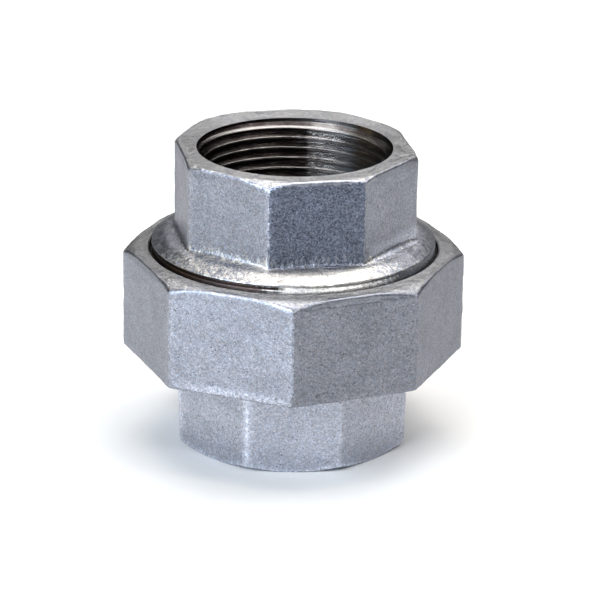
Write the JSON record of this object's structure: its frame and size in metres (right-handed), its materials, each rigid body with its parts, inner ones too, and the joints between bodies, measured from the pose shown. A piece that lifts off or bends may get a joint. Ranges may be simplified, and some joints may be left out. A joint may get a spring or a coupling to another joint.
{
  "type": "pipe union",
  "caption": "Galvanised malleable-iron pipe union: octagonal female-threaded ends clamped on a flat gasket by a wide octagonal union nut.",
  "frame": {"origin": "centre of the tail piece's end face, the face that the fitting stands on", "axes": "+Z along the waterway, from the tail piece up to the male end; -Y faces the viewer's side"},
  "size_m": [0.0736, 0.0736, 0.065],
  "materials": {
    "galvanised_casting": "hot-dip galvanised, rough cast grain",
    "galvanised_nut": "hot-dip galvanised, rough cast grain",
    "bare_thread": "bare machined iron",
    "gasket_sheet": "compressed fibre sheet"
  },
  "bodies": {
    "tail_piece": {"tail_piece": "galvanised_casting", "gasket": "gasket_sheet"},
    "union_nut": {"union_nut": "galvanised_nut"},
    "male_end": {"male_end": "galvanised_casting"}
  },
  "joints": [
    {"name": "nut_turn", "type": "hinge", "parent": "tail_piece", "child": "union_nut", "pos_m": [0, 0, 0.03125], "axis": [0, 0, -1], "range_deg": [0, 1620]},
    {"name": "male_end_lift", "type": "slide", "parent": "tail_piece", "child": "male_end", "axis": [0, 0, 1], "range_m": [0, 0.0104]}
  ],
  "couplings": [
    {"joint": "male_end_lift", "follows": "nut_turn", "m_per_rad": 0.00036749}
  ]
}
